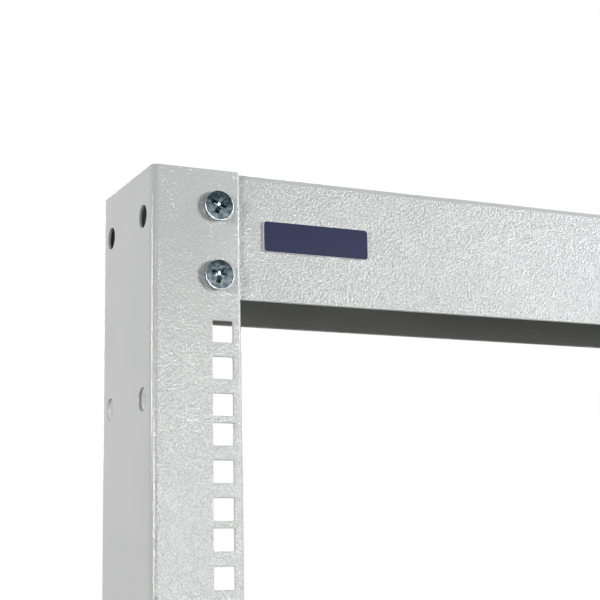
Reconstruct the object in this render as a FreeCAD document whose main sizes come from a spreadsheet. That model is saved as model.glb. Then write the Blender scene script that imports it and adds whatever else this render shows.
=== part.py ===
"""Two post open frame rack for 19 inch equipment, in millimetres.

X runs across the rack, Y from front to back and Z up. The origin lies on the
floor under the middle of the frame. Two folded sheet posts with square
equipment holes stand on front to back base channels, and are joined at both
ends by folded crossbars that sit inside the posts.
"""
import FreeCAD, Part
import os
import re

import Sketcher
from FreeCAD import Vector

SIZES = {
    # Equipment hole standard, where one U is the height of a rack unit
    "rack_units": 24,
    "u_height": 44.45,
    "hole_step": 15.875,
    "first_hole": 6.35,
    "hole_side": 9.5,
    "mounting_width": 465.1,
    # Posts
    "flange_margin": 9.55,
    "post_width": 42.0,
    "post_depth": 70.0,
    "post_sheet": 1.5,
    "post_bend": 3.5,
    "lip_bend": 2.5,
    "lip_depth": 6.5,
    "end_margin": 66.0,
    "notch_length": 80.0,
    "notch_ramp": 3.0,
    "notch_inset": 1.0,
    # Round holes in the web of a post, counted from each end
    "web_bore": 10.0,
    "web_apart": 45.0,
    "web_first": 21.0,
    "web_pitch": 80.5,
    # Crossbars
    "bar_height": 57.5,
    "bar_sheet": 1.5,
    "bar_bend": 3.0,
    "bar_gap": 0.5,
    "screw_inset": 30.3,
    "screw_first": 16.7,
    "screw_pitch": 31.0,
    "plate_width": 20.0,
    "plate_height": 46.0,
    "plate_sheet": 3.0,
    # Badge
    "badge_width": 52.5,
    "badge_height": 14.0,
    "badge_sheet": 1.0,
    "badge_corner": 1.5,
    "badge_inset": 52.7,
    "badge_drop": 21.0,
    # Base channels
    "leg_length": 560.0,
    "leg_width": 75.0,
    "leg_height": 50.0,
    "leg_sheet": 2.5,
    "leg_bend": 4.0,
    "leg_overhang": 16.5,
    "leg_slope": 22.0,
    "leg_toe": 18.0,
    "anchor_bore": 14.0,
    "anchor_apart": 400.0,
    # Side gussets
    "gusset_sheet": 3.0,
    "gusset_foot": 300.0,
    "gusset_height": 128.0,
    "gusset_heel": 20.0,
    "gusset_corner": 10.0,
    # Levelling feet
    "foot_apart": 490.0,
    "foot_gap": 22.0,
    "pad_width": 45.0,
    "pad_rim": 6.0,
    "pad_neck": 20.0,
    "pad_height": 15.0,
    "stud_width": 10.0,
    "stud_play": 0.5,
    "stud_above": 14.0,
}

# Sizes that several pieces share, worked out from the sheet
POST_LENGTH = "(rack_units * u_height + 2 * end_margin)"
HALF_WIDTH = "(mounting_width / 2 - flange_margin + post_width)"
HOLE_COLUMN = "(post_width - flange_margin)"
LEG_TOP = "(foot_gap + leg_height)"
BAR_DEPTH = "(post_depth - 2 * post_sheet)"
HALF_LEG = "(leg_length / 2)"

doc = FreeCAD.newDocument("two_post_rack")
sheet = doc.addObject("Spreadsheet::Sheet", "Sizes")
for row, (alias, value) in enumerate(SIZES.items(), start=1):
    sheet.set(f"A{row}", alias)
    sheet.set(f"B{row}", str(value))
    sheet.setAlias(f"B{row}", alias)
doc.recompute()

nodes = []


def sized(text):
    """Put the sheet's name before each alias, which is how an expression reads a cell."""
    return re.sub(r"\b([a-z]+_[a-z_]+)\b", r"Sizes.\1", text)


def worth(text):
    """The number that an expression over the size sheet gives now."""
    return float(sheet.evalExpression(sized(text)))


def bind(thing, **expressions):
    """Tie properties of an object to expressions over the size sheet."""
    for name, text in expressions.items():
        thing.setExpression(name, sized(text))


def place(thing, across="0", back="0", up="0"):
    """Tie the place of a piece to expressions over the size sheet."""
    for axis, text in zip("xyz", (across, back, up)):
        thing.setExpression(f"Placement.Base.{axis}", sized(text))


def keep(thing, label):
    """Name a finished piece and list it as a node."""
    thing.Label = label
    nodes.append(thing)
    return thing


def new_body(name):
    return doc.addObject("PartDesign::Body", name)


def new_sketch(body, plane, lift="0"):
    """A sketch on one of the body's own origin planes, moved along its normal."""
    sketch = body.newObject("Sketcher::SketchObject", f"{body.Name}_sketch")
    origin_plane = next(item for item in body.Origin.OriginFeatures if item.Role == f"{plane}_Plane")
    sketch.AttachmentSupport = [(origin_plane, "")]
    sketch.MapMode = "FlatFace"
    sketch.setExpression("AttachmentOffset.Base.z", sized(lift))
    return sketch


def tie_point(sketch, geometry, point, across, along):
    """Hold a point of the sketch at two expressions, measured from the sketch's origin."""
    for kind, text in (("DistanceX", across), ("DistanceY", along)):
        place_now = worth(text)
        index = sketch.addConstraint(
            Sketcher.Constraint(kind, -1, 1, geometry, point, place_now)
        )
        sketch.setExpression(f"Constraints[{index}]", sized(text))


def draw_polygon(sketch, corners):
    """A closed outline whose corners are pairs of expressions."""
    first = sketch.GeometryCount
    count = len(corners)
    spots = [Vector(worth(across), worth(along), 0) for across, along in corners]
    for number in range(count):
        line = Part.LineSegment(spots[number], spots[(number + 1) % count])
        sketch.addGeometry(line, False)
    for number in range(count):
        following = first + (number + 1) % count
        sketch.addConstraint(Sketcher.Constraint("Coincident", first + number, 2, following, 1))
    for number, (across, along) in enumerate(corners):
        tie_point(sketch, first + number, 1, across, along)


def draw_rectangle(sketch, left, low, right, high):
    draw_polygon(sketch, [(left, low), (right, low), (right, high), (left, high)])


def draw_circle(sketch, across, along, width):
    """A circle with its middle at two expressions and its diameter at a third."""
    middle = Vector(worth(across), worth(along), 0)
    number = sketch.addGeometry(Part.Circle(middle, Vector(0, 0, 1), worth(width) / 2), False)
    tie_point(sketch, number, 3, across, along)
    index = sketch.addConstraint(Sketcher.Constraint("Diameter", number, worth(width)))
    sketch.setExpression(f"Constraints[{index}]", sized(width))


def pad(body, sketch, length, both_ways=False):
    """Raise a sketch into a solid along its normal, or half to each side of it."""
    feature = body.newObject("PartDesign::Pad", f"{body.Name}_pad")
    feature.Profile = sketch
    feature.SideType = "Symmetric" if both_ways else "One side"
    bind(feature, Length=length)
    doc.recompute()
    return feature


def cut(body, sketch, length=None, flip=False):
    """Cut a sketch out of the body, right through it when no length is given."""
    before = body.Shape.Volume
    feature = body.newObject("PartDesign::Pocket", f"{body.Name}_cut")
    feature.Profile = sketch
    feature.Reversed = flip
    if length is None:
        feature.Type = "ThroughAll"
    else:
        bind(feature, Length=length)
    doc.recompute()
    if body.Shape.Volume >= before:
        raise RuntimeError(f"{feature.Name} cuts nothing")
    return feature


def repeat(body, feature, sketch, axis, copies, spacing, backwards=False):
    """Repeat a cut along an axis of its sketch."""
    pattern = body.newObject("PartDesign::LinearPattern", f"{body.Name}_row")
    pattern.Originals = [feature]
    pattern.Direction = (sketch, [axis])
    pattern.Reversed = backwards
    pattern.Mode = "Spacing"
    bind(pattern, Offset=spacing, Occurrences=copies)
    body.Tip = pattern
    doc.recompute()
    return pattern


def edges_along(shape, axis, spots):
    """Names of the straight edges along an axis that pass through the given pairs of places."""
    others = [index for index in range(3) if index != "XYZ".index(axis)]
    names = []
    for number, edge in enumerate(shape.Edges, start=1):
        ends = [vertex.Point for vertex in edge.Vertexes]
        if len(ends) != 2 or edge.Curve.TypeId != "Part::GeomLine":
            continue
        for spot in spots:
            if all(abs(end[index] - value) < 1e-4 for end in ends for index, value in zip(others, spot)):
                names.append(f"Edge{number}")
    return names


def round_edges(body, axis, corners, radius):
    """Round the edges along an axis whose places are pairs of expressions."""
    spots = [(worth(one), worth(two)) for one, two in corners]
    base = body.Tip
    names = edges_along(base.Shape, axis, spots)
    if len(names) < len(spots):
        raise RuntimeError(f"{body.Name} has too few edges to round")
    feature = body.newObject("PartDesign::Fillet", f"{body.Name}_round")
    feature.Base = (base, names)
    bind(feature, Radius=radius)
    doc.recompute()
    return feature


def mirror(source, name, normal, middle="0"):
    """A mirrored twin of a piece, across an upright plane or a level one at a height."""
    twin = doc.addObject("Part::Mirroring", name)
    twin.Source = source
    twin.Normal = normal
    if normal.z:
        bind(twin, **{"Base.z": middle})
    return twin


def pair(source, name, normal):
    """A piece and its mirrored twin, which stay apart and share a node."""
    both = doc.addObject("Part::Compound", name)
    both.Links = [source, mirror(source, f"{name}_twin", normal)]
    return both


def make_post():
    """Left post: a lipped C section, open towards the middle of the rack.

    Its own frame starts at the outer front corner of the lower end.
    """
    body = new_body("left_post")
    outline = new_sketch(body, "XY")
    draw_rectangle(outline, "0", "0", "post_width", "post_depth")
    pad(body, outline, POST_LENGTH)

    hollow = new_sketch(body, "XY")
    far, back = "post_width - post_sheet", "post_depth - post_sheet"
    draw_rectangle(hollow, "post_sheet", "post_sheet", far, back)
    cut(body, hollow, flip=True)
    for outside, inside, bend in (("0", "post_sheet", "post_bend"), ("post_width", far, "lip_bend")):
        round_edges(body, "Z", [(outside, "0"), (outside, "post_depth")], bend)
        round_edges(body, "Z", [(inside, "post_sheet"), (inside, back)], f"{bend} - post_sheet")

    mouth = new_sketch(body, "XY")
    draw_rectangle(mouth, far, "lip_depth", "post_width + post_sheet", "post_depth - lip_depth")
    cut(body, mouth, flip=True)

    # The lips stop short of both ends, where the crossbars slide in behind the flanges
    edge = "post_width - notch_inset"
    clear = "post_width + post_sheet"
    top = POST_LENGTH
    notches = new_sketch(body, "XZ")
    draw_polygon(notches, [
        (edge, f"{top}"), (edge, f"{top} - notch_length"),
        (clear, f"{top} - notch_length - notch_ramp"), (clear, f"{top}"),
    ])
    draw_polygon(notches, [
        (edge, "0"), (clear, "0"), (clear, "notch_length + notch_ramp"), (edge, "notch_length"),
    ])
    cut(body, notches)

    # Three square holes for the lowest unit go through both flanges, then repeat upwards
    squares = new_sketch(body, "XZ")
    side = "hole_side / 2"
    for number in range(3):
        level = f"end_margin + first_hole + {number} * hole_step"
        draw_rectangle(
            squares, f"{HOLE_COLUMN} - {side}", f"{level} - {side}",
            f"{HOLE_COLUMN} + {side}", f"{level} + {side}",
        )
    unit = cut(body, squares)
    repeat(body, unit, squares, "V_Axis", "rack_units", "u_height")

    # Round holes through the web, four near each end
    rounds = new_sketch(body, "YZ", "post_width / 2")
    for row in range(2):
        level = f"(web_first + {row} * web_pitch)"
        for across in ("post_depth / 2 - web_apart / 2", "post_depth / 2 + web_apart / 2"):
            draw_circle(rounds, across, level, "web_bore")
            draw_circle(rounds, across, f"{POST_LENGTH} - {level}", "web_bore")
    cut(body, rounds)
    place(body, f"-{HALF_WIDTH}", "-post_depth / 2", LEG_TOP)
    return body


def make_crossbar():
    """Top crossbar: a channel that is open below and runs from web to web.

    Its own frame starts in the middle of its front face, at its top.
    """
    body = new_body("top_crossbar")
    outline = new_sketch(body, "YZ")
    draw_rectangle(outline, "0", "-bar_height", BAR_DEPTH, "0")
    pad(body, outline, f"2 * ({HALF_WIDTH} - post_bend - bar_gap)", both_ways=True)

    hollow = new_sketch(body, "YZ", HALF_WIDTH)
    draw_rectangle(hollow, "bar_sheet", "-bar_height", f"{BAR_DEPTH} - bar_sheet", "-bar_sheet")
    cut(body, hollow)
    round_edges(body, "X", [("0", "0"), (BAR_DEPTH, "0")], "bar_bend")
    inner = [("bar_sheet", "-bar_sheet"), (f"{BAR_DEPTH} - bar_sheet", "-bar_sheet")]
    round_edges(body, "X", inner, "bar_bend - bar_sheet")
    place(body, "0", "post_sheet - post_depth / 2", f"{LEG_TOP} + {POST_LENGTH}")
    return body


def make_badge():
    """Bare name plate on the front face of the top crossbar."""
    body = new_body("name_badge")
    outline = new_sketch(body, "XZ")
    draw_rectangle(outline, "0", "-badge_height", "badge_width", "0")
    pad(body, outline, "badge_sheet")
    corners = [("0", "0"), ("badge_width", "0"), ("0", "-badge_height"), ("badge_width", "-badge_height")]
    round_edges(body, "Y", corners, "badge_corner")
    up = f"{LEG_TOP} + {POST_LENGTH} - badge_drop"
    place(body, f"badge_inset - {HALF_WIDTH}", "post_sheet - post_depth / 2", up)
    return body


def make_leg():
    """Left base channel, open below, with sloped ends.

    Its own frame starts at the middle of its length, at the outer lower corner.
    """
    body = new_body("left_leg")
    outline = new_sketch(body, "XZ")
    draw_rectangle(outline, "0", "0", "leg_width", "leg_height")
    pad(body, outline, "leg_length", both_ways=True)

    hollow = new_sketch(body, "XZ", HALF_LEG)
    draw_rectangle(hollow, "leg_sheet", "0", "leg_width - leg_sheet", "leg_height - leg_sheet")
    cut(body, hollow)
    round_edges(body, "Y", [("0", "leg_height"), ("leg_width", "leg_height")], "leg_bend")
    level = "leg_height - leg_sheet"
    round_edges(body, "Y", [("leg_sheet", level), ("leg_width - leg_sheet", level)], "leg_bend - leg_sheet")

    # The side walls slope away below both ends
    slopes = new_sketch(body, "YZ", "leg_width + leg_sheet")
    tip = f"{HALF_LEG} + leg_sheet"
    draw_polygon(slopes, [
        (f"{HALF_LEG} - leg_slope", "-leg_sheet"), (tip, "-leg_sheet"),
        (tip, "leg_height - leg_toe"), (HALF_LEG, "leg_height - leg_toe"),
    ])
    draw_polygon(slopes, [
        (f"leg_slope - {HALF_LEG}", "-leg_sheet"), (f"-{HALF_LEG}", "leg_height - leg_toe"),
        (f"-({tip})", "leg_height - leg_toe"), (f"-({tip})", "-leg_sheet"),
    ])
    cut(body, slopes)

    # Holes through the top, for the levelling studs and for floor anchors
    holes = new_sketch(body, "XY", LEG_TOP)
    for side in ("-", ""):
        draw_circle(holes, "leg_width / 2", f"{side}foot_apart / 2", "stud_width + 2 * stud_play")
        draw_circle(holes, "leg_width / 2", f"{side}anchor_apart / 2", "anchor_bore")
    cut(body, holes)
    place(body, f"-{HALF_WIDTH} - leg_overhang", "0", "foot_gap")
    return body


def make_gusset():
    """Left side gusset: an upright plate against the web of the post, standing on the leg."""
    body = new_body("left_gusset")
    outline = new_sketch(body, "YZ")
    draw_polygon(outline, [
        ("-gusset_foot / 2", "0"), ("gusset_foot / 2", "0"), ("gusset_foot / 2", "gusset_heel"),
        ("post_depth / 2", "gusset_height"), ("-post_depth / 2", "gusset_height"),
        ("-gusset_foot / 2", "gusset_heel"),
    ])
    pad(body, outline, "gusset_sheet")
    corners = [
        (f"{side}{across} / 2", up) for side in ("-", "")
        for across, up in (("gusset_foot", "gusset_heel"), ("post_depth", "gusset_height"))
    ]
    round_edges(body, "X", corners, "gusset_corner")
    holes = new_sketch(body, "YZ", "gusset_sheet")
    for row in range(2):
        for side in ("-", ""):
            draw_circle(holes, f"{side}web_apart / 2", f"web_first + {row} * web_pitch", "web_bore")
    cut(body, holes)
    place(body, f"-{HALF_WIDTH} - gusset_sheet", "0", LEG_TOP)
    return body


def make_nut_plate(name, bar, side, face):
    """Plate inside a crossbar, behind one flange at one end, that takes two screws.

    The bar is 1 for the top one, the side is 1 for the right and the face is 1 for the rear.
    """
    plate = doc.addObject("Part::Box", name)
    bind(plate, Length="plate_width", Width="plate_sheet", Height="plate_height")
    middle = f"{side} * ({HALF_WIDTH} - screw_inset)"
    depth = f"{face} * (post_depth / 2 - post_sheet - bar_sheet - plate_sheet / 2)"
    drop = f"{bar} * ({POST_LENGTH} / 2 - screw_first - screw_pitch / 2)"
    up = f"{LEG_TOP} + {POST_LENGTH} / 2 + {drop}"
    place(plate, f"{middle} - plate_width / 2", f"{depth} - plate_sheet / 2", f"{up} - plate_height / 2")
    return plate


def place_foot(piece, up="0"):
    """Put a piece on the upright line of the left front levelling foot."""
    place(piece, f"leg_width / 2 - leg_overhang - {HALF_WIDTH}", "-foot_apart / 2", up)
    return piece


def make_foot_pad():
    """Round foot pad that the stud stands on."""
    body = new_body("foot_pad")
    section = new_sketch(body, "XZ")
    draw_polygon(section, [
        ("0", "0"), ("pad_width / 2", "0"), ("pad_width / 2", "pad_rim"),
        ("pad_neck / 2", "pad_height"), ("0", "pad_height"),
    ])
    turned = body.newObject("PartDesign::Revolution", "foot_pad_turned")
    turned.Profile = section
    turned.ReferenceAxis = (section, ["V_Axis"])
    turned.Angle = 360
    doc.recompute()
    return place_foot(body)


def make_foot_stud():
    """Stud from the pad's top up through the leg."""
    stud = doc.addObject("Part::Cylinder", "foot_stud")
    bind(stud, Radius="stud_width / 2", Height=f"{LEG_TOP} + stud_above - pad_height")
    return place_foot(stud, "pad_height")


def write_steps():
    """Check every object and write one file for each piece."""
    doc.recompute()
    for thing in doc.Objects:
        if "Invalid" in thing.State or "Error" in thing.State:
            raise RuntimeError(f"{thing.Name} failed: {thing.State}")
    os.makedirs("parts", exist_ok=True)
    for node in nodes:
        if node.Shape.isNull() or not node.Shape.isValid():
            raise RuntimeError(f"{node.Label} has no valid shape")
    for node in nodes:
        node.Shape.exportStep(os.path.join("parts", f"{node.Label}.step"))
        box = node.Shape.BoundBox
        print(f"{node.Label}: {len(node.Shape.Solids)} solid, {node.Shape.Volume:.0f} mm3,",
              f"z {box.ZMin:.2f} to {box.ZMax:.2f}")


SIDEWAYS = Vector(1, 0, 0)
BACKWARDS = Vector(0, 1, 0)
UPWARDS = Vector(0, 0, 1)
MIDDLE = f"{LEG_TOP} + {POST_LENGTH} / 2"

for make, part in ((make_post, "post"), (make_leg, "leg"), (make_gusset, "gusset")):
    left = keep(make(), f"left_{part}")
    keep(mirror(left, f"right_{part}", SIDEWAYS), f"right_{part}")

top_crossbar = keep(make_crossbar(), "top_crossbar")
keep(mirror(top_crossbar, "bottom_crossbar", UPWARDS, MIDDLE), "bottom_crossbar")
keep(make_badge(), "name_badge")

for bar, level in ((1, "top"), (-1, "bottom")):
    for side, hand in ((-1, "left"), (1, "right")):
        for face, front in ((-1, "front"), (1, "rear")):
            label = f"{level}_{hand}_{front}_nut_plate"
            keep(make_nut_plate(label, bar, side, face), label)

for make, part in ((make_foot_pad, "foot_pads"), (make_foot_stud, "foot_studs")):
    left = keep(pair(make(), f"left_{part}", BACKWARDS), f"left_{part}")
    keep(mirror(left, f"right_{part}", SIDEWAYS), f"right_{part}")

write_steps()
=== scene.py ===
"""Dressing and studio for a two post open frame rack.

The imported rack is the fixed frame. This script gives its sheet metal a textured
powder coat, adds the screws, bolts, nuts, threads and welds that hold it
together, and sets up a pale studio with a camera close to the upper left corner.
"""
from __future__ import annotations

import logging
import math
from dataclasses import dataclass
from enum import Enum
from itertools import product
from typing import Iterable, Sequence

import bmesh
import bpy
from mathutils import Matrix, Vector


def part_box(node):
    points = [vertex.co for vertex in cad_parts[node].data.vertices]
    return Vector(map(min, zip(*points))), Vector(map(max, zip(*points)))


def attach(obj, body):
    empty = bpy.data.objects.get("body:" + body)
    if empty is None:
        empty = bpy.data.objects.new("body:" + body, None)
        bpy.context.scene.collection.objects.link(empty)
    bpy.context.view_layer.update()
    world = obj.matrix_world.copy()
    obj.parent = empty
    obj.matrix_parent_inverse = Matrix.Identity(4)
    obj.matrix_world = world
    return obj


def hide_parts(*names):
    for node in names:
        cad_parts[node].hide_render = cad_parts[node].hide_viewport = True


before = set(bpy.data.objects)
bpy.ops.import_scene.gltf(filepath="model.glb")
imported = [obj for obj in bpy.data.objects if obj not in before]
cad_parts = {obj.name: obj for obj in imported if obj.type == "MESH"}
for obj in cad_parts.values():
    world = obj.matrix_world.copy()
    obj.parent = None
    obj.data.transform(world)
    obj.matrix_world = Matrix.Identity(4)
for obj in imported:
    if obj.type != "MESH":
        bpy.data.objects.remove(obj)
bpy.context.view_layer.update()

MM = 0.001
BODY = "root"
LOG = logging.getLogger("rack")

Ring = tuple[float, float]
Colour = tuple[float, float, float]
Place = tuple[float, float, float]
Socket = bpy.types.NodeSocket
Source = Socket | float | Sequence[float]

HERE = Matrix.Identity(4)
SMOOTH_DEG = 35.0
# The part of a noise that is stretched, the full part of a dot, and the random values that give one.
MIDDLE: Ring = (0.35, 0.65)
DOT_CORE = 0.3
DOT_PICK: Ring = (0.95, 1.25)
# How deep a thread's root is buried, and where root, crest, crest and root lie along one turn.
THREAD_BURIED = 0.03 * MM
THREAD_SHARES = (0.02, 0.42, 0.58, 0.98)
# A hexagon's chamfer: its height as a share of corner less flat, its start as a share of the flat.
CHAMFER_DROP = 0.55
CHAMFER_START = 0.96


class Slot(Enum):
    """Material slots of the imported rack."""

    PAINT = "frame_paint"
    BADGE = "badge_face"
    ZINC = "zinc_steel"
    PLASTIC = "foot_plastic"


class Side(Enum):
    """Left or right half of the rack, as the sign of X."""

    LEFT = -1
    RIGHT = 1

    def outer(self, part: str) -> float:
        """Where this side's part has its outer face, along X."""
        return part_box(f"{self.name.lower()}_{part}")[int(self is Side.RIGHT)].x


class Face(Enum):
    """Front or rear of the rack, as the sign of Y."""

    FRONT = -1
    REAR = 1


class Level(Enum):
    """Upper or lower end of the posts, as the sign of Z."""

    TOP = 1
    BOTTOM = -1


class Shader:
    """A node material with one principled shader."""

    def __init__(self, name: str, roughness: float, metallic: float = 0.0) -> None:
        """Start the material.

        Args:
            name: the material's name.
            roughness: the shader's roughness.
            metallic: the shader's metallic share.
        """
        self.material = bpy.data.materials.new(name)
        self.material.use_nodes = True
        self.nodes = self.material.node_tree.nodes
        self.links = self.material.node_tree.links
        self.principled = self.nodes["Principled BSDF"]
        self.wear(Roughness=roughness, Metallic=metallic)
        self.place = self.node("ShaderNodeTexCoord").outputs["Object"]

    def feed(self, node: bpy.types.Node, **inputs: Source) -> bpy.types.Node:
        """Link or set a node's inputs.

        Args:
            node: the node.
            inputs: a socket or a value for each input, named with an underscore for a space.

        Returns:
            The node.
        """
        for name, source in inputs.items():
            socket = node.inputs[name.replace("_", " ")]
            if isinstance(source, Socket):
                self.links.new(source, socket)
            else:
                socket.default_value = source
        return node

    def node(self, kind: str, **inputs: Source) -> bpy.types.Node:
        """Add a node of a kind and feed it."""
        return self.feed(self.nodes.new(kind), **inputs)

    def wear(self, **inputs: Source) -> None:
        """Feed the principled shader."""
        self.feed(self.principled, **inputs)

    def noise(self, size_mm: float, detail: float = 2.0, stretch: Sequence[float] = (1, 1, 1)) -> Socket:
        """A noise whose spots are about the given size.

        Args:
            size_mm: the size of a spot in millimetres.
            detail: octaves of finer noise.
            stretch: how much each axis is squeezed, to draw the noise out.

        Returns:
            The noise's factor socket.
        """
        mapping = self.node("ShaderNodeMapping", Vector=self.place, Scale=stretch)
        node = self.node(
            "ShaderNodeTexNoise", Vector=mapping.outputs["Vector"], Scale=1 / (size_mm * MM), Detail=detail,
        )
        return node.outputs["Fac"]

    def dots(self, apart_mm: float, width_mm: float, crowd: Socket) -> Socket:
        """Round dots at random places of the faces that look forward or back.

        Args:
            apart_mm: the usual distance between places.
            width_mm: a dot's width.
            crowd: how many places have a dot, from nought to one.

        Returns:
            A socket that is one in a full dot and nought between them.
        """
        mapping = self.node("ShaderNodeMapping", Vector=self.place, Rotation=(math.pi / 2, 0, 0))
        cells = self.nodes.new("ShaderNodeTexVoronoi")
        cells.voronoi_dimensions = "2D"
        self.feed(cells, Vector=mapping.outputs["Vector"], Scale=1 / (apart_mm * MM))
        reach = width_mm / apart_mm / 2
        round_spot = self.ranged(cells.outputs["Distance"], reach * DOT_CORE, reach, 1.0, 0.0)
        split = self.node("ShaderNodeSeparateColor", Color=cells.outputs["Color"])
        picked = self.ranged(self.reckon("ADD", split.outputs["Red"], crowd), *DOT_PICK)
        return self.reckon("MULTIPLY", round_spot, picked)

    def ranged(
        self, socket: Socket, low: float, high: float, to_low: float = 0.0, to_high: float = 1.0,
    ) -> Socket:
        """Stretch part of a socket's range over another.

        Args:
            socket: the value to stretch.
            low: where the stretched part starts.
            high: where it ends.
            to_low: what the start becomes.
            to_high: what the end becomes.

        Returns:
            The stretched value's socket.
        """
        node = self.node(
            "ShaderNodeMapRange", Value=socket, From_Min=low, From_Max=high, To_Min=to_low, To_Max=to_high,
        )
        node.interpolation_type = "SMOOTHSTEP"
        return node.outputs["Result"]

    def reckon(self, how: str, *values: Socket) -> Socket:
        """Work a value out from one or two others.

        Args:
            how: the sum, such as MULTIPLY or ABSOLUTE.
            values: the sockets that go into it.

        Returns:
            The outcome's socket.
        """
        node = self.nodes.new("ShaderNodeMath")
        node.operation = how
        for socket, value in zip(node.inputs, values):
            self.links.new(value, socket)
        return node.outputs["Value"]

    def axes(self, vector: Socket) -> bpy.types.NodeOutputs:
        """The three parts of a vector, by the names X, Y and Z."""
        return self.node("ShaderNodeSeparateXYZ", Vector=vector).outputs

    def between(self, factor: Socket, low: Colour | Socket, high: Colour | Socket) -> Socket:
        """Mix two colours, each a fixed colour or a socket.

        Args:
            factor: the socket that leads from the first to the second.
            low: the colour at nought.
            high: the colour at one.

        Returns:
            The mixed colour's socket.
        """
        node = self.nodes.new("ShaderNodeMix")
        node.data_type = "RGBA"
        self.links.new(factor, node.inputs["Factor"])
        sockets = (item for item in node.inputs if item.type == "RGBA")
        for socket, colour in zip(sockets, (low, high)):
            if isinstance(colour, tuple):
                socket.default_value = (*colour, 1.0)
            else:
                self.links.new(colour, socket)
        return next(item for item in node.outputs if item.type == "RGBA")

    def bump(self, height: Socket, depth_mm: float, under: Socket | None = None) -> Socket:
        """Raise the surface by a height.

        Args:
            height: the height's socket, from nought to one.
            depth_mm: the height that one stands for, in millimetres.
            under: a coarser bump that this one lies on.

        Returns:
            The normal's socket.
        """
        node = self.node("ShaderNodeBump", Distance=depth_mm * MM, Height=height)
        if under is not None:
            self.feed(node, Normal=under)
        return node.outputs["Normal"]


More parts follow.
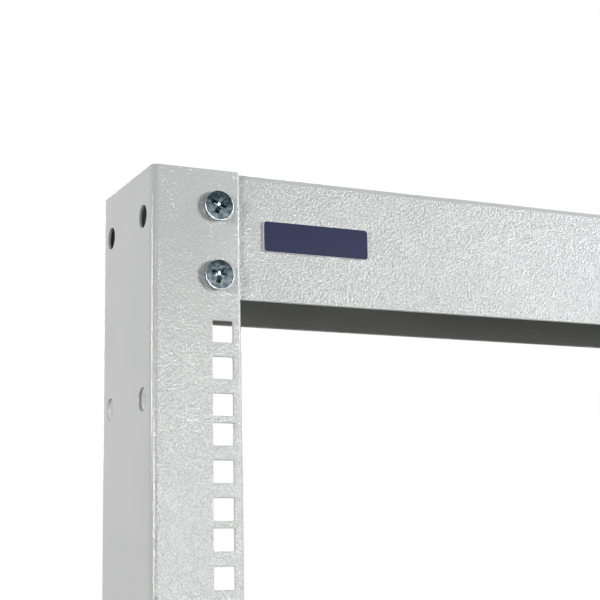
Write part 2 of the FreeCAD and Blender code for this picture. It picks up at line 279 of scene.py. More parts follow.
@dataclass(frozen=True)
class PowderCoat:
    """Light grey textured powder coat, with painted glints on its dots and painted shade in its valleys."""

    name: str = "powder_coat"
    colour: Colour = (0.545, 0.556, 0.548)
    shade: Colour = (0.515, 0.528, 0.520)
    # Painted highlight: the colour that the dots' painted glints go towards.
    pale: Colour = (0.90, 0.91, 0.91)
    # Painted shade: the darker colour that the peel's valleys go towards.
    valley_painted_shade: Colour = (0.40, 0.41, 0.405)
    roughness: float = 0.50
    gloss: float = 0.80
    gloss_index: float = 1.5
    gloss_roughness: float = 0.12
    base_gloss: float = 0.20
    cloud_mm: float = 60.0
    peel_mm: float = 1.05
    peel_depth_mm: float = 0.215
    peel_range: Ring = (0.30, 0.72)
    # The part of the peel's noise that takes the painted valley shade.
    valley_shade_range: Ring = (0.25, 0.52)
    dot_mm: float = 1.00
    dots_apart_mm: float = 1.40
    fine_width: float = 0.75
    fine_apart: float = 0.72
    dot_height_mm: float = 0.080
    # How far each dot's base colour goes towards that painted glint colour.
    dot_painted_glint: float = 0.60
    # How crowded the dots, and with them the painted glints, are near the frame's corners and away from them.
    sparse: float = -0.06
    crowding: float = 0.72
    dense_reach: float = 0.20
    patch_mm: float = 12.0
    patch_crowding: float = 0.30
    web_facing: Ring = (0.30, 0.85)
    web_share: float = 0.06
    level_facing: Ring = (0.02, 0.25)
    level_share: float = 0.15
    corner_share: float = 0.30
    corner_reach: float = 0.26
    outside: Ring = (0.0330, 0.0334)

    def material(self) -> bpy.types.Material:
        """Build the finish.

        Returns:
            The material.
        """
        shader = Shader(self.name, self.roughness)
        apart = self._from_corner(shader)
        share = self._texture_share(shader)
        dots = shader.reckon("MULTIPLY", self._raised_glint_dots(shader, apart), share)
        # The peel and its painted valley shade grow from the frame's corners outwards.
        grown = shader.ranged(apart, 0.0, self.corner_reach, self.corner_share)
        share = shader.reckon("MULTIPLY", share, grown)
        skin = shader.noise(self.peel_mm, 1.0)
        peel = shader.reckon("MULTIPLY", shader.ranged(skin, *self.peel_range), share)
        normal = shader.bump(dots, self.dot_height_mm, shader.bump(peel, self.peel_depth_mm))
        cloud = shader.ranged(shader.noise(self.cloud_mm), *MIDDLE)
        # Painted shade: the peel's low parts are darkened, as its relief would shade them.
        valley_shade_mask = shader.reckon("MULTIPLY", shader.ranged(skin, *self.valley_shade_range, 1.0, 0.0), share)
        ground = shader.between(valley_shade_mask, shader.between(cloud, self.shade, self.colour), self.valley_painted_shade)
        # Base colour: cloudy tone, painted shade in the peel's valleys, and painted glints on the raised
        # dots.
        shader.wear(
            Base_Color=shader.between(shader.ranged(dots, 0.0, 1.0, 0.0, self.dot_painted_glint), ground, self.pale),
            Specular_IOR_Level=self.base_gloss,
            Coat_Weight=self.gloss,
            Coat_IOR=self.gloss_index,
            Coat_Roughness=self.gloss_roughness,
            Normal=normal,
            Coat_Normal=normal,
        )
        return shader.material

    def _raised_glint_dots(self, shader: Shader, apart: Socket) -> Socket:
        """Coarse and fine raised dots, which also carry painted glints, sparse near the corners and crowded
        in patches.

        Args:
            shader: the shader that is built.
            apart: the distance to the nearest corner.

        Returns:
            The dots' socket.
        """
        crowd = shader.ranged(apart, 0.0, self.dense_reach, self.sparse, self.crowding)
        patches = shader.ranged(shader.noise(self.patch_mm), *MIDDLE, 0.0, self.patch_crowding)
        crowd = shader.reckon("ADD", patches, crowd)
        coarse = shader.dots(self.dots_apart_mm, self.dot_mm, crowd)
        fine = shader.dots(self.dots_apart_mm * self.fine_apart, self.dot_mm * self.fine_width, crowd)
        return shader.reckon("MAXIMUM", coarse, fine)

    def _texture_share(self, shader: Shader) -> Socket:
        """How much texture, painted shade and painted glints show: less on webs and level faces, none inside.

        Args:
            shader: the shader that is built.

        Returns:
            The share's socket.
        """
        normal = shader.axes(shader.node("ShaderNodeNewGeometry").outputs["True Normal"])
        depth = shader.reckon("ABSOLUTE", shader.axes(shader.place)["Y"])
        share = shader.ranged(depth, *self.outside)
        for axis, turned, least in (
            ("X", self.web_facing, self.web_share), ("Z", self.level_facing, self.level_share),
        ):
            faded = shader.ranged(shader.reckon("ABSOLUTE", normal[axis]), *turned, 1.0, least)
            share = shader.reckon("MULTIPLY", share, faded)
        return share

    def _from_corner(self, shader: Shader) -> Socket:
        """The distance to the nearest corner of the frame, in its own plane.

        Args:
            shader: the shader that is built.

        Returns:
            The distance's socket.
        """
        low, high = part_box("left_post")[0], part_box("right_post")[1]
        middle, half = (low + high) / 2, (high - low) / 2
        spot = shader.place
        for how, value in (
            ("SUBTRACT", middle), ("ABSOLUTE", None), ("SUBTRACT", half), ("MULTIPLY", Vector((1, 0, 1))),
            ("LENGTH", None),
        ):
            node = shader.node("ShaderNodeVectorMath", Vector=spot)
            node.operation = how
            if value is not None:
                node.inputs[1].default_value = value
            spot = node.outputs["Value" if how == "LENGTH" else "Vector"]
        return spot


@dataclass(frozen=True)
class CrossbarCoat(PowderCoat):
    """The same coat, a little coarser on the crossbars."""

    name: str = "crossbar_coat"
    peel_mm: float = 1.15
    peel_depth_mm: float = 0.225
    # A fainter painted glint on the crossbars' dots.
    dot_painted_glint: float = 0.50
    sparse: float = 0.03
    corner_reach: float = 0.13


@dataclass(frozen=True)
class ZincPlate:
    """Bright, slightly blue zinc plating on the fasteners."""

    name: str = "zinc_plate"
    light: Colour = (0.27, 0.31, 0.335)
    dark: Colour = (0.11, 0.155, 0.178)
    roughness: float = 0.13
    patch_mm: float = 2.2
    patch_range: Ring = (0.40, 0.60)
    scratch_mm: float = 0.35
    scratch_depth_mm: float = 0.003
    scratch_range: Ring = (0.3, 0.7)
    smoother: float = 0.05
    rougher: float = 0.08
    uneven_mm: float = 1.4
    uneven_depth_mm: float = 0.035

    def material(self) -> bpy.types.Material:
        """Build the finish.

        Returns:
            The material.
        """
        shader = Shader(self.name, self.roughness, 1.0)
        patches = shader.ranged(shader.noise(self.patch_mm, 3.0), *self.patch_range)
        scratches = shader.noise(self.scratch_mm)
        uneven = shader.bump(shader.noise(self.uneven_mm, 1.0), self.uneven_depth_mm)
        finest, roughest = self.roughness - self.smoother, self.roughness + self.rougher
        shader.wear(
            Base_Color=shader.between(patches, self.dark, self.light),
            Roughness=shader.ranged(scratches, *self.scratch_range, finest, roughest),
            Normal=shader.bump(scratches, self.scratch_depth_mm, uneven),
        )
        return shader.material


@dataclass(frozen=True)
class RimHighlightZinc(ZincPlate):
    """A lighter, rougher copy of the plating on a screw head's rim, which paints a highlight on it."""

    name: str = "rim_highlight_zinc"
    light: Colour = (0.46, 0.48, 0.50)
    dark: Colour = (0.34, 0.37, 0.40)
    roughness: float = 0.30


@dataclass(frozen=True)
class BadgeFace:
    """Dark blue satin face of the bare name plate."""

    colour: Colour = (0.010, 0.014, 0.052)
    lighter: Colour = (0.018, 0.024, 0.078)
    roughness: float = 0.30
    specular: float = 0.28
    grain_mm: float = 0.5
    grain_depth_mm: float = 0.006

    def material(self) -> bpy.types.Material:
        """Build the finish.

        Returns:
            The material.
        """
        shader = Shader("badge_blue", self.roughness)
        grain = shader.noise(self.grain_mm)
        shader.wear(
            Base_Color=shader.between(shader.ranged(grain, *MIDDLE), self.colour, self.lighter),
            Specular_IOR_Level=self.specular,
            Normal=shader.bump(grain, self.grain_depth_mm),
        )
        return shader.material


@dataclass(frozen=True)
class BadgeEdge:
    """Pale anodised body of the name plate."""

    colour: Colour = (0.70, 0.71, 0.74)
    darker: Colour = (0.595, 0.6035, 0.629)
    roughness: float = 0.32
    metallic: float = 0.35
    grain_mm: float = 0.4
    grain_depth_mm: float = 0.005
    drawn_out: Place = (0.1, 1.0, 1.0)

    def material(self) -> bpy.types.Material:
        """Build the finish.

        Returns:
            The material.
        """
        shader = Shader("badge_edge", self.roughness, self.metallic)
        grain = shader.noise(self.grain_mm, stretch=self.drawn_out)
        shader.wear(
            Base_Color=shader.between(grain, self.darker, self.colour),
            Normal=shader.bump(grain, self.grain_depth_mm),
        )
        return shader.material


@dataclass(frozen=True)
class MouldedPlastic:
    """Black moulded plastic of the foot pads."""

    colour: Colour = (0.022, 0.022, 0.024)
    dust: Colour = (0.060, 0.060, 0.062)
    roughness: float = 0.55
    grain_mm: float = 0.6
    grain_depth_mm: float = 0.02
    dust_mm: float = 9.0
    dust_range: Ring = (0.4, 0.8)

    def material(self) -> bpy.types.Material:
        """Build the finish.

        Returns:
            The material.
        """
        shader = Shader("moulded_plastic", self.roughness)
        dust = shader.ranged(shader.noise(self.dust_mm), *self.dust_range)
        shader.wear(
            Base_Color=shader.between(dust, self.colour, self.dust),
            Normal=shader.bump(shader.noise(self.grain_mm, 3.0), self.grain_depth_mm),
        )
        return shader.material


class Shape:
    """A mesh that is put together from turned, swept and copied forms, in metres."""

    def __init__(self) -> None:
        """Start with nothing, in the piece's first finish."""
        self.bm = bmesh.new()
        self.tone = 0

    def turn(
        self, profile: Sequence[Ring], place: Matrix, segments: int = 48,
        across_flats: float | None = None, ring: bool = False,
    ) -> None:
        """Turn a profile about the local Z axis.

        Args:
            profile: pairs of radius and height, in metres, with the outside to the right.
            place: where the turned form goes.
            segments: steps around the axis.
            across_flats: the width of a hexagon that limits the form.
            ring: whether the profile closes on itself round a bore.
        """
        rows = []
        for radius, height in profile:
            if radius < 1e-7:
                rows.append([self.bm.verts.new(place @ Vector((0, 0, height)))] * segments)
                continue
            row = []
            for step in range(segments):
                angle = math.tau * step / segments
                limit = min(radius, hexagon(across_flats, angle)) if across_flats else radius
                spot = Vector((limit * math.cos(angle), limit * math.sin(angle), height))
                row.append(self.bm.verts.new(place @ spot))
            rows.append(row)
        if ring:
            rows.append(rows[0])
        for low, high in zip(rows, rows[1:]):
            for step in range(segments):
                after = (step + 1) % segments
                unique = list(dict.fromkeys((low[step], low[after], high[after], high[step])))
                if len(unique) > 2:
                    self.bm.faces.new(unique).material_index = self.tone

    def thread(
        self, place: Matrix, outer: float, inner: float, pitch: float, start: float, end: float,
        segments: int = 24,
    ) -> None:
        """Wind a ridge about the local Z axis, fading out over its first and last turn.

        Args:
            place: where the thread goes.
            outer: the crest's radius.
            inner: the root's radius.
            pitch: the rise of one turn.
            start: the height where it starts.
            end: the height where it ends.
            segments: steps in one turn.
        """
        root = inner - THREAD_BURIED
        steps = int((end - start - pitch) / pitch * segments)
        rows = []
        for step in range(steps + 1):
            angle = math.tau * step / segments
            fade = min(1.0, step / segments, (steps - step) / segments)
            crest = root + (outer - root) * fade
            level = start + pitch * step / segments
            row = []
            for radius, share in zip((root, crest, crest, root), THREAD_SHARES):
                spot = Vector((radius * math.cos(angle), radius * math.sin(angle), level + share * pitch))
                row.append(self.bm.verts.new(place @ spot))
            rows.append(row)
        for one, two in zip(rows, rows[1:]):
            for low in range(3):
                self.bm.faces.new((one[low], two[low], two[low + 1], one[low + 1]))

    def sweep(self, sections: Sequence[Sequence[Vector]]) -> None:
        """Skin a row of closed sections that have as many points each, and close both ends.

        Args:
            sections: the points of each section, in order.
        """
        rows = [[self.bm.verts.new(spot) for spot in section] for section in sections]
        for one, two in zip(rows, rows[1:]):
            count = len(one)
            for number in range(count):
                after = (number + 1) % count
                self.bm.faces.new((one[number], one[after], two[after], two[number]))
        self.bm.faces.new(list(reversed(rows[0])))
        self.bm.faces.new(rows[-1])

    def add(self, mesh: bpy.types.Mesh, place: Matrix) -> None:
        """Add a copy of a mesh.

        Args:
            mesh: the mesh to copy.
            place: where the copy goes.
        """
        before = len(self.bm.verts)
        self.bm.from_mesh(mesh)
        self.bm.verts.ensure_lookup_table()
        bmesh.ops.transform(self.bm, matrix=place, verts=self.bm.verts[before:])

    def mesh(self, name: str, smooth_under: float = SMOOTH_DEG) -> bpy.types.Mesh:
        """Turn the shape into a mesh with outward faces and sharp corners kept.

        Args:
            name: the mesh's name.
            smooth_under: edges that turn less than this many degrees are shaded smooth.

        Returns:
            The mesh.
        """
        bmesh.ops.recalc_face_normals(self.bm, faces=self.bm.faces)
        made = bpy.data.meshes.new(name)
        self.bm.to_mesh(made)
        self.bm.free()
        made.shade_smooth()
        made.set_sharp_from_angle(angle=math.radians(smooth_under))
        return made


@dataclass(frozen=True)
class Finish:
    """A material with the record's slot that it belongs to."""

    material: bpy.types.Material
    slot: Slot


def linked(name: str, data: bpy.types.ID) -> bpy.types.Object:
    """Add an object to the scene.

    Args:
        name: its name.
        data: its mesh, lamp or camera.

    Returns:
        The object.
    """
    made = bpy.data.objects.new(name, data)
    bpy.context.scene.collection.objects.link(made)
    return made


def put(
    name: str, shape: Shape, finish: Finish, *more: Finish,
    replaces: Iterable[str] = (), smooth_under: float = SMOOTH_DEG,
) -> None:
    """Place a shape in the scene as a piece of the rack.

    Args:
        name: the piece's name.
        shape: its shape, in the rack's own frame.
        finish: what it is made of.
        more: further finishes of its faces, in the order of their tones.
        replaces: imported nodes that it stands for.
        smooth_under: edges that turn less than this many degrees are shaded smooth.
    """
    mesh = shape.mesh(name, smooth_under)
    piece = linked(name, mesh)
    for each in (finish, *more):
        mesh.materials.append(each.material)
    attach(piece, BODY)
    if replaces:
        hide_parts(*replaces)
    LOG.info("%s: %d faces", name, len(mesh.polygons))


def facing(spot: Vector, outward: Vector, turned_deg: float = 0.0) -> Matrix:
    """A place at a spot whose local Z axis points outward, turned about that axis."""
    turn = outward.to_track_quat("Z", "Y").to_matrix().to_4x4()
    return Matrix.Translation(spot) @ turn @ Matrix.Rotation(math.radians(turned_deg), 4, "Z")


def hexagon(across_flats: float, angle: float) -> float:
    """The radius at an angle of a hexagon with a width between opposite sides."""
    return across_flats / 2 / math.cos((angle % (math.pi / 3)) - math.pi / 6)


def nut_section(across_flats: float, bore: float, height: float) -> list[Ring]:
    """The section of a hexagon nut with chamfered corners.

    Args:
        across_flats: the width between opposite sides.
        bore: the bore's radius.
        height: the nut's height.

    Returns:
        Pairs of radius and height, closed round the bore.
    """
    flat = across_flats / 2
    corner = flat / math.cos(math.pi / 6)
    drop = (corner - flat) * CHAMFER_DROP
    face = flat * CHAMFER_START
    return [(bore, 0.0), (face, 0.0), (corner, drop), (corner, height - drop), (face, height), (bore, height)]


def carved(solid: bpy.types.Mesh, tool: bpy.types.Mesh) -> bpy.types.Mesh:
    """Cut one closed mesh out of another.

    Args:
        solid: the mesh that is cut.
        tool: the mesh that is taken away.

    Returns:
        What is left.
    """
    holder, knife = linked("carved", solid), linked("knife", tool)
    step = holder.modifiers.new("recess", "BOOLEAN")
    step.operation = "DIFFERENCE"
    step.solver = "EXACT"
    step.use_self = True
    step.object = knife
    graph = bpy.context.evaluated_depsgraph_get()
    left = bpy.data.meshes.new_from_object(holder.evaluated_get(graph))
    for thing in (holder, knife):
        bpy.data.objects.remove(thing)
    left.shade_smooth()
    left.set_sharp_from_angle(angle=math.radians(SMOOTH_DEG))
    return left


@dataclass
class SheetMetal:
    """The folded sheet nodes of the rack, their cut edges rounded by the paint."""

    finish: Finish
    edge_round: float = 0.45 * MM
    edge_steps: int = 3
    smooth_under: float = math.radians(SMOOTH_DEG)
    flat_under: float = math.radians(0.5)
    names: tuple[str, ...] = (
        "left_post", "right_post", "left_leg", "right_leg", "left_gusset", "right_gusset",
    )
    joined_within: float = 0.002 * MM

    def dress(self) -> None:
        """Give every sheet node its paint and its rounded edges."""
        joined = self._joined_faces()
        for name in self.names:
            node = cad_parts[name]
            node.material_slots[0].material = self.finish.material
            node.modifiers.new("joined_faces", "NODES").node_group = joined
            flat = node.modifiers.new("whole_faces", "DECIMATE")
            flat.decimate_type = "DISSOLVE"
            flat.angle_limit = self.flat_under
            bevel = node.modifiers.new("painted_edges", "BEVEL")
            bevel.width = self.edge_round
            bevel.segments = self.edge_steps
            bevel.limit_method = "ANGLE"
            bevel.angle_limit = self.smooth_under
            bevel.harden_normals = True
            bevel.use_clamp_overlap = False
            LOG.info("%s: painted", name)

    def _joined_faces(self) -> bpy.types.NodeTree:
        """Geometry nodes that join a node's faces along their shared edges.

        Returns:
            The node group.
        """
        tree = bpy.data.node_groups.new("joined_faces", "GeometryNodeTree")
        for way in ("INPUT", "OUTPUT"):
            tree.interface.new_socket("Geometry", in_out=way, socket_type="NodeSocketGeometry")
        start, merge, forget, faces, edges, end, angle, under = (tree.nodes.new(kind) for kind in (
            "NodeGroupInput", "GeometryNodeMergeByDistance", "GeometryNodeRemoveAttribute",
            "GeometryNodeSetShadeSmooth", "GeometryNodeSetShadeSmooth", "NodeGroupOutput",
            "GeometryNodeInputMeshEdgeAngle", "FunctionNodeCompare",
        ))
        merge.inputs["Distance"].default_value = self.joined_within
        forget.inputs["Name"].default_value = "custom_normal"
        under.operation = "LESS_THAN"
        under.inputs["B"].default_value = self.smooth_under
        edges.domain = "EDGE"
        tree.links.new(angle.outputs["Unsigned Angle"], under.inputs["A"])
        tree.links.new(under.outputs["Result"], edges.inputs["Shade Smooth"])
        chain = (start, merge, forget, faces, edges, end)
        for one, two in zip(chain, chain[1:]):
            tree.links.new(one.outputs["Geometry"], two.inputs["Geometry"])
        return tree


@dataclass
class CrossbarScrews:
    """Pan head screws with a cross recess, two through each end of each crossbar face."""

    finish: Finish
    # The lighter zinc that paints a highlight on each head's rim.
    rim_finish: Finish
    head_radius: float = 6.75 * MM
    base_radius: float = 6.3 * MM
    base_soft: float = 0.2 * MM
    head_height: float = 2.7 * MM
    crown: float = 0.16 * MM
    rim: float = 0.30 * MM
    head_steps: int = 72
    rim_steps: int = 6
    crown_steps: int = 10
    welded: float = 0.001 * MM
    arm_length: float = 4.0 * MM
    arm_width: float = 2.2 * MM
    recess_depth: float = 1.9 * MM
    recess_over: float = 1.0 * MM
    recess_tip: float = 0.5 * MM
    length_taper: Ring = (0.55, 0.45)
    width_taper: Ring = (0.28, 0.22)
    middle_taper: Ring = (0.45, 1.02)
    middle_steps: int = 16
    middle_turn_deg: float = 22.5
    shank_radius: float = 3.0 * MM
    shank_root: float = 2.5 * MM
    shank_length: float = 14.0 * MM
    shank_gap: float = 0.05 * MM
    shank_steps: int = 24
    thread_steps: int = 20
    tip_narrow: float = 0.5 * MM
    tip_height: float = 0.6 * MM
    thread_pitch: float = 1.0 * MM
    thread_start: float = 0.3 * MM
    thread_end: float = 4.0 * MM
    pitch: float = 31.0 * MM
    turns_deg: tuple[float, ...] = (66.0, 75.0, 61.0, 8.0, 40.0, 22.0, 30.0, 52.0)

    def build(self) -> None:
        """Make one piece for each nut plate, which takes two screws."""
        screw = self._screw()
        for level, side, face in product(Level, Side, Face):
            place = f"{level.name}_{side.name}_{face.name}".lower()
            low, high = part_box(f"{place}_nut_plate")
            middle = (low + high) / 2
            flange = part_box(f"{side.name.lower()}_post")[int(face is Face.REAR)].y
            start = 2 * (side is Side.RIGHT) + 4 * (level is Level.BOTTOM) + 3 * (face is Face.REAR)
            shape = Shape()
            for number, offset in enumerate((self.pitch / 2, -self.pitch / 2), start):
                spot = Vector((middle.x, flange, middle.z + offset))
                turn = self.turns_deg[number % len(self.turns_deg)]
                shape.add(screw, facing(spot, Vector((0, face.value, 0)), turn))
            put(f"{place}_screws", shape, self.finish, self.rim_finish)

    def _screw(self) -> bpy.types.Mesh:
        """One screw with its seat at the origin and its head along Z.

        Returns:
            The screw's mesh.
        """
        side, rim, crown = self._head_profile()
        head = Shape()
        # The rim takes the second finish, the lighter zinc that paints its highlight.
        for tone, profile in ((0, side), (1, rim), (0, crown)):
            head.tone = tone
            head.turn(profile, HERE, self.head_steps)
        bmesh.ops.remove_doubles(head.bm, verts=head.bm.verts, dist=self.welded)
        solid = head.mesh("screw_head")
        for each in (self.finish, self.rim_finish):
            solid.materials.append(each.material)
        whole = Shape()
        whole.add(carved(solid, self._recess()), HERE)
        tip = -self.shank_length
        core = [
            (0.0, tip), (self.shank_root - self.tip_narrow, tip), (self.shank_root, tip + self.tip_height),
            (self.shank_root, -self.shank_gap), (0.0, -self.shank_gap),
        ]
        whole.turn(core, HERE, self.shank_steps)
        whole.thread(
            HERE, self.shank_radius, self.shank_root, self.thread_pitch, tip + self.thread_start,
            -self.thread_end, self.thread_steps,
        )
        return whole.mesh("screw")

    def _head_profile(self) -> tuple[list[Ring], list[Ring], list[Ring]]:
        """The head's outline from its seat to the middle of its crown.

        Returns:
            Pairs of radius and height for the side, the rim with its painted highlight and the crown.
        """
        side_top = self.head_height - self.crown - self.rim
        side = [
            (0.0, 0.0), (self.base_radius - self.base_soft, 0.0), (self.base_radius, self.base_soft),
            (self.head_radius, side_top),
        ]
        rim = [
            (self.head_radius - self.rim * (1 - math.cos(angle)), side_top + self.rim * math.sin(angle))
            for angle in (math.pi / 2 * step / self.rim_steps for step in range(self.rim_steps + 1))
        ]
        face = self.head_radius - self.rim
        crown = [
            (radius, self.head_height - self.crown * (radius / face) ** 2)
            for radius in (face * (1 - step / self.crown_steps) for step in range(self.crown_steps + 1))
        ]
        return side, rim, crown

    def _recess(self) -> bpy.types.Mesh:
        """The cross recess as a closed form: two tapered arms and a tapered middle.

        Returns:
            The form to cut away.
        """
        top = self.head_height + self.recess_over
        floor = self.head_height - self.recess_depth
        slope = (top - floor) / self.recess_depth
        (long, longer), (wide, wider) = self.length_taper, self.width_taper
        ends = [
            (self.arm_length * (long + longer * rise), self.arm_width * (wide + wider * rise), level)
            for rise, level in ((0.0, floor), (slope, top))
        ]
        square = ((-1, -1), (1, -1), (1, 1), (-1, 1))
        cross = Shape()
        for turn in (0.0, 90.0):
            spin = Matrix.Rotation(math.radians(turn), 4, "Z")
            cross.sweep([
                [spin @ Vector((x * length, y * width, level)) for x, y in square]
                for length, width, level in ends
            ])
        at_floor, at_top = (self.arm_width * share for share in self.middle_taper)
        cross.turn(
            [(0.0, floor - self.recess_tip), (at_floor, floor), (at_top, top), (0.0, top)],
            Matrix.Rotation(math.radians(self.middle_turn_deg), 4, "Z"), self.middle_steps,
        )
        return cross.mesh("cross_recess")


@dataclass
class GussetBolts:
    """Hexagon bolts with washers and nuts that hold each gusset to the web of its post."""

    finish: Finish
    first: float = 21.0 * MM
    pitch: float = 80.5 * MM
    apart: float = 45.0 * MM
    sheet: float = 1.5 * MM
    bolt_radius: float = 4.0 * MM
    bolt_root: float = 3.35 * MM
    across_flats: float = 13.0 * MM
    head_height: float = 5.3 * MM
    nut_height: float = 6.5 * MM
    washer_radius: float = 8.0 * MM
    washer_sheet: float = 1.6 * MM
    tail: float = 3.5 * MM
    tip: float = 0.7 * MM
    thread_pitch: float = 1.25 * MM
    washer_soft: float = 0.25 * MM
    washer_steps: int = 40
    shank_steps: int = 32
    nut_turn: float = 2.3
    turns_deg: tuple[float, ...] = (12.0, 41.0, 3.0, 27.0)

    def build(self) -> None:
        """Make one piece of four bolts for each side."""
        for side in Side:
            name = side.name.lower()
            outer = side.outer("gusset")
            web = side.outer("post") - side.value * self.sheet
            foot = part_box(f"{name}_post")[0].z
            shape = Shape()
            for turn, (row, face) in zip(self.turns_deg, product(range(2), Face)):
                spot = Vector((outer, face.value * self.apart / 2, foot + self.first + row * self.pitch))
                self._bolt(shape, spot, Vector((side.value, 0, 0)), abs(outer - web), turn)
            put(f"{name}_gusset_bolts", shape, self.finish)

    def _bolt(self, shape: Shape, spot: Vector, outward: Vector, grip: float, turn: float) -> None:
        """Add one bolt with its washers and nut.

        Args:
            shape: the shape that takes it.
            spot: the middle of the hole, on the gusset's outer face.
            outward: where the bolt's head points.
            grip: the thickness that it holds together.
            turn: the head's turn in degrees.
        """
        bore, out, thick, soft = self.bolt_radius, self.washer_radius, self.washer_sheet, self.washer_soft
        washer = [
            (bore, 0.0), (out - soft, 0.0), (out, soft), (out, thick - soft), (out - soft, thick),
            (bore, thick),
        ]
        nut = nut_section(self.across_flats, bore, self.nut_height)
        head = nut_section(self.across_flats, 0.0, self.head_height)[3:]
        head = [(0.0, 0.0), (head[0][0], 0.0), *head]
        front = facing(spot, outward, turn)
        back = facing(spot - outward * grip, -outward, self.nut_turn * turn)
        lift = Matrix.Translation((0, 0, thick))
        for place, section, ring in ((front, head, False), (back, nut, True)):
            shape.turn(washer, place, self.washer_steps, ring=True)
            shape.turn(section, place @ lift, across_flats=self.across_flats, ring=ring)
        end = thick + self.nut_height + self.tail
        core = [
            (0.0, -grip), (self.bolt_root, -grip), (self.bolt_root, end - self.tip),
            (self.bolt_root - self.tip, end), (0.0, end),
        ]
        shape.turn(core, back, self.shank_steps)
        shape.thread(back, bore, self.bolt_root, self.thread_pitch, self.nut_height, end)


@dataclass
class NameBadge:
    """The bare blue face and the pale body of the name plate."""

    face: Finish
    edge: Finish
    inset: float = 0.12 * MM
    proud: float = 0.12 * MM
    sunk: float = 0.05 * MM
    corner: float = 1.40 * MM
    soft: float = 0.08 * MM
    arc_steps: int = 8

    def build(self) -> None:
        """Dress the plate's body and lay the blue face on it."""
        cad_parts["name_badge"].material_slots[0].material = self.edge.material
        low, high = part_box("name_badge")
        shape = Shape()
        shape.sweep([
            self._outline(low, high, low.y + self.sunk, 0.0),
            self._outline(low, high, low.y - self.proud + self.soft, 0.0),
            self._outline(low, high, low.y - self.proud, self.soft),
        ])
        put("name_badge_face", shape, self.face)

    def _outline(self, low: Vector, high: Vector, depth: float, shrink: float) -> list[Vector]:
        """A rectangle with round corners in the plane of the plate.

        Args:
            low: the plate's lowest corner.
            high: its highest corner.
            depth: the outline's place along Y.
            shrink: how far it keeps inside the face's edge.

        Returns:
            The outline's points in order.
        """
        gap = self.inset + shrink
        radius = self.corner - shrink
        left, right = low.x + gap + radius, high.x - gap - radius
        foot, top = low.z + gap + radius, high.z - gap - radius
        points = []
        for number, (x, z) in enumerate(((right, top), (left, top), (left, foot), (right, foot))):
            for step in range(self.arc_steps + 1):
                angle = math.pi / 2 * (number + step / self.arc_steps)
                points.append(Vector((x + radius * math.cos(angle), depth, z + radius * math.sin(angle))))
        return points


@dataclass
class FootHardware:
    """Threaded studs, lock nuts and weld nuts of the levelling feet."""

    zinc: Finish
    plastic: Finish
    root: float = 4.2 * MM
    thread_pitch: float = 1.5 * MM
    across_flats: float = 17.0 * MM
    nut_height: float = 8.0 * MM
    collar: float = 6.0 * MM
    tip: float = 0.8 * MM
    thread_free: float = 0.2 * MM
    leg_sheet: float = 2.5 * MM
    stud_steps: int = 32

    def build(self) -> None:
        """Make the studs and nuts of each side, and colour the pads."""
        for side in Side:
            name = side.name.lower()
            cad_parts[f"{name}_foot_pads"].material_slots[0].material = self.plastic.material
            low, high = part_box(f"{name}_foot_studs")
            leg_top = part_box(f"{name}_leg")[1].z
            radius = (high.x - low.x) / 2
            core = [
                (0.0, low.z), (self.root, low.z), (self.root, high.z - self.tip),
                (self.root - self.tip, high.z), (0.0, high.z),
            ]
            studs, nuts = Shape(), Shape()
            for across in (low.y + radius, high.y - radius):
                foot = Matrix.Translation(((low.x + high.x) / 2, across, 0))
                studs.turn(core, foot, self.stud_steps)
                studs.thread(foot, radius, self.root, self.thread_pitch, low.z, high.z - self.thread_free)
                for seat in (leg_top, leg_top - self.leg_sheet - self.nut_height, low.z):
                    height = self.collar if seat == low.z else self.nut_height
                    section = nut_section(self.across_flats, radius, height)
                    place = foot @ Matrix.Translation((0, 0, seat))
                    nuts.turn(section, place, across_flats=self.across_flats, ring=True)
            put(f"{name}_threaded_studs", studs, self.zinc, replaces=(f"{name}_foot_studs",))
            put(f"{name}_foot_nuts", nuts, self.zinc)


@dataclass
class WeldBeads:
    """Painted fillet welds between each gusset and its leg."""

    finish: Finish
    stitches: tuple[float, ...] = (-105.0 * MM, 0.0, 105.0 * MM)
    length: float = 44.0 * MM
    throat: float = 3.6 * MM
    ripple: float = 1.5 * MM
    ripple_depth: float = 0.12
    ripple_steps: int = 6
    round_steps: int = 6
    blunt_ends: int = 8
    least_end: float = 0.08
    hollow: float = 0.22
    sunk: float = 0.3 * MM
    smooth_under: float = 60.0

    def build(self) -> None:
        """Make one piece of welds for each side."""
        for side in Side:
            shape = Shape()
            for middle in self.stitches:
                self._bead(shape, side, middle)
            name = f"{side.name.lower()}_gusset_welds"
            put(name, shape, self.finish, smooth_under=self.smooth_under)

    def _bead(self, shape: Shape, side: Side, middle: float) -> None:
        """Add one rippled bead in the corner between a gusset and its leg.

        Args:
            shape: the shape that takes it.
            side: the side of the rack, which the bead faces.
            middle: the bead's middle along Y.
        """
        wall = side.outer("gusset") - side.value * self.sunk
        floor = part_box(f"{side.name.lower()}_gusset")[0].z - self.sunk
        steps = int(self.length / self.ripple * self.ripple_steps)
        sections = []
        for step in range(steps + 1):
            share = step / steps
            ends = math.sqrt(max(0.0, 1 - abs(2 * share - 1) ** self.blunt_ends))
            wave = abs(math.sin(math.pi * share * self.length / self.ripple))
            size = self.throat * max(self.least_end, ends) * (1 - self.ripple_depth * (1 - wave))
            along = middle + self.length * (share - 0.5)
            corner = Vector((wall, along, floor))
            section = [corner]
            for number in range(self.round_steps + 1):
                angle = math.pi / 2 * number / self.round_steps
                belly = size * (1 - self.hollow + self.hollow * abs(math.cos(2 * angle)))
                out = Vector((side.value * math.cos(angle), 0, math.sin(angle)))
                section.append(corner + out * belly)
            sections.append(section)
        shape.sweep(sections)


@dataclass(frozen=True)
class Lamp:
    """A soft lamp, placed by its direction from the rack's upper part."""

    name: str
    turn_deg: float
    rise_deg: float
    distance: float
    size: float
    power: float
    mirrored: bool


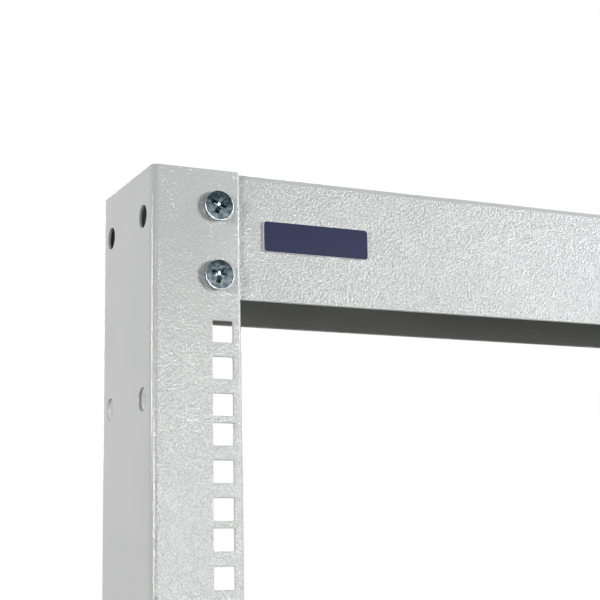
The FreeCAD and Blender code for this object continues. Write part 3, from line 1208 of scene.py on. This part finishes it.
@dataclass(frozen=True)
class Card:
    """An upright or level panel with its own light, which only reflections show."""

    name: str
    low: Place
    high: Place
    light: Colour

    def corners(self) -> tuple[Place, ...]:
        """Work out all four corners from the two opposite ones.

        Returns:
            The corners in order.
        """
        (left, start, foot), (right, end, top) = self.low, self.high
        second, fourth = (start, end) if foot == top else (end, start)
        return self.low, (right, second, foot), self.high, (left, fourth, top)


@dataclass
class Studio:
    """Pale floor, white surroundings, soft lamps and the camera."""

    aim: Place = (-0.20, 0.0, 1.15)
    lamps: tuple[Lamp, ...] = (
        Lamp("front_lamp", 47, 9, 2.2, 0.60, 42.2, False),
        Lamp("left_lamp", -66, 8, 2.0, 0.40, 24.9, False),
        Lamp("right_lamp", 88, 14, 2.2, 1.3, 9.0, True),
        Lamp("rear_lamp", 160, 18, 2.4, 1.2, 30.0, True),
        Lamp("rear_left_lamp", 225, 20, 2.4, 2.0, 9.0, False),
    )
    cards: tuple[Card, ...] = (
        Card("ceiling_flag", (-1.6, -4.15, 2.35), (6.0, -0.4, 2.35), (0.07, 0.12, 0.13)),
        Card("left_card", (-2.2, -0.10, 1.31), (-2.2, 0.38, 1.73), (24.0, 24.0, 24.0)),
        Card("near_left_card", (-2.10, -0.84, 0.60), (-1.80, -1.32, 1.34), (26.0, 26.0, 26.0)),
        Card("low_card", (-0.32, -2.0, 0.60), (0.25, -2.0, 1.22), (26.0, 26.0, 26.0)),
        Card("low_right_card", (0.25, -2.0, 0.60), (2.10, -2.0, 1.14), (9.8, 9.5, 9.4)),
        Card("front_card", (1.428, -1.613, 1.0), (2.025, -0.60, 2.3), (10.0, 10.6, 11.2)),
    )

    camera_place: Place = (-0.45262, -0.57312, 1.10255)
    yaw_deg: float = 25.558
    pitch_deg: float = 10.652
    roll_deg: float = -1.064
    lens_mm: float = 81.42
    sensor_mm: float = 36.0
    near_clip: float = 0.01
    ambient: float = 0.07
    floor_radius: float = 3.0
    floor_level: float = -0.2 * MM
    floor_clear: float = 1.2
    floor_white: float = 2.85
    floor_roughness: float = 0.9
    floor_steps: int = 96
    floor_colour: Colour = (0.80, 0.80, 0.80)
    floor_bounce: Colour = (0.08, 0.08, 0.07)

    def build(self) -> None:
        """Set up the camera, the surroundings, the floor and the lamps."""
        bpy.context.scene.view_settings.view_transform = "Standard"
        self._camera()
        self._world()
        self._floor()
        for card in self.cards:
            self._card(card)
        for lamp in self.lamps:
            self._lamp(lamp)

    def _camera(self) -> None:
        """Place the camera close to the rack's upper left corner."""
        yaw, pitch, roll = (math.radians(turn) for turn in (self.yaw_deg, self.pitch_deg, self.roll_deg))
        ahead = Vector((math.sin(yaw) * math.cos(pitch), math.cos(yaw) * math.cos(pitch), math.sin(pitch)))
        level = Vector((math.cos(yaw), -math.sin(yaw), 0))
        upright = level.cross(ahead)
        right = level * math.cos(roll) + upright * math.sin(roll)
        up = upright * math.cos(roll) - level * math.sin(roll)
        data = bpy.data.cameras.new("camera")
        data.sensor_width = self.sensor_mm
        data.lens = self.lens_mm
        data.clip_start = self.near_clip
        camera = linked("camera", data)
        turn = Matrix((right, up, -ahead)).transposed().to_4x4()
        camera.matrix_world = Matrix.Translation(self.camera_place) @ turn
        bpy.context.scene.camera = camera

    def _world(self) -> None:
        """White surroundings where the camera and reflections look, plain soft light otherwise."""
        world = bpy.data.worlds.new("studio")
        world.use_nodes = True
        bpy.context.scene.world = world
        nodes, links = world.node_tree.nodes, world.node_tree.links
        rays = nodes.new("ShaderNodeLightPath").outputs
        shown = rays["Is Camera Ray"]
        for name in ("Is Glossy Ray", "Is Transmission Ray"):
            either = nodes.new("ShaderNodeMath")
            either.operation = "MAXIMUM"
            links.new(shown, either.inputs[0])
            links.new(rays[name], either.inputs[1])
            shown = either.outputs["Value"]
        strength = nodes.new("ShaderNodeMapRange")
        strength.inputs["To Min"].default_value = self.ambient
        links.new(shown, strength.inputs["Value"])
        background = nodes["Background"]
        background.inputs["Color"].default_value = (1, 1, 1, 1)
        links.new(strength.outputs["Result"], background.inputs["Strength"])

    def _floor(self) -> None:
        """A round pale floor that keeps the rack's shadow and fades into the white."""
        shape, level = Shape(), self.floor_level
        shape.turn([(0.0, level), (self.floor_radius, level)], HERE, self.floor_steps)
        mesh = shape.mesh("studio_floor")
        floor = linked("studio_floor", mesh)
        shader = Shader("studio_floor", self.floor_roughness)
        rays = shader.node("ShaderNodeLightPath").outputs
        shader.wear(Base_Color=shader.between(rays["Is Camera Ray"], self.floor_bounce, self.floor_colour))
        length = shader.node("ShaderNodeVectorMath", Vector=shader.place)
        length.operation = "LENGTH"
        fade = shader.ranged(length.outputs["Value"], self.floor_clear, self.floor_white)
        fade = shader.reckon("MULTIPLY", fade, rays["Is Camera Ray"])
        fade = shader.reckon("MAXIMUM", fade, rays["Is Glossy Ray"])
        mix = shader.node("ShaderNodeMixShader", Fac=fade)
        shader.links.new(shader.principled.outputs["BSDF"], mix.inputs[1])
        shader.links.new(shader.node("ShaderNodeEmission").outputs["Emission"], mix.inputs[2])
        shader.feed(shader.nodes["Material Output"], Surface=mix.outputs["Shader"])
        mesh.materials.append(shader.material)

    def _card(self, card: Card) -> None:
        """Hang a dark or bright card, so that metal has contrast.

        Args:
            card: where it hangs and how bright it is.
        """
        shape = Shape()
        shape.bm.faces.new([shape.bm.verts.new(corner) for corner in card.corners()])
        mesh = shape.mesh(card.name)
        hung = linked(card.name, mesh)
        shader = Shader(card.name, 1.0)
        shader.wear(Base_Color=(0.0, 0.0, 0.0, 1), Emission_Color=(*card.light, 1), Emission_Strength=1.0)
        mesh.materials.append(shader.material)
        hung.visible_camera = hung.visible_diffuse = False
        hung.visible_transmission = hung.visible_shadow = False

    def _lamp(self, lamp: Lamp) -> None:
        """Hang one lamp so that it points at the rack's upper part.

        Args:
            lamp: where it hangs and how strong it is.
        """
        turn, rise = math.radians(lamp.turn_deg), math.radians(lamp.rise_deg)
        outward = Vector((math.sin(turn) * math.cos(rise), -math.cos(turn) * math.cos(rise), math.sin(rise)))
        data = bpy.data.lights.new(lamp.name, "AREA")
        data.size = lamp.size
        data.energy = lamp.power
        hung = linked(lamp.name, data)
        hung.matrix_world = facing(Vector(self.aim) + outward * lamp.distance, outward)
        hung.visible_glossy = lamp.mirrored


def main() -> None:
    """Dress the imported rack, add its hardware and light it."""
    logging.basicConfig(level=logging.INFO, format="%(message)s")
    paint = Finish(PowderCoat().material(), Slot.PAINT)
    bar_paint = Finish(CrossbarCoat().material(), Slot.PAINT)
    zinc = Finish(ZincPlate().material(), Slot.ZINC)
    rim_highlight = Finish(RimHighlightZinc().material(), Slot.ZINC)
    badge = Finish(BadgeFace().material(), Slot.BADGE)
    edge = Finish(BadgeEdge().material(), Slot.BADGE)
    plastic = Finish(MouldedPlastic().material(), Slot.PLASTIC)
    Studio().build()
    SheetMetal(paint).dress()
    SheetMetal(bar_paint, names=("top_crossbar", "bottom_crossbar")).dress()
    for name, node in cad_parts.items():
        if name.endswith("_nut_plate"):
            node.material_slots[0].material = zinc.material
    CrossbarScrews(zinc, rim_highlight).build()
    GussetBolts(zinc).build()
    NameBadge(badge, edge).build()
    FootHardware(zinc, plastic).build()
    WeldBeads(paint).build()


if __name__ == "__main__":
    main()
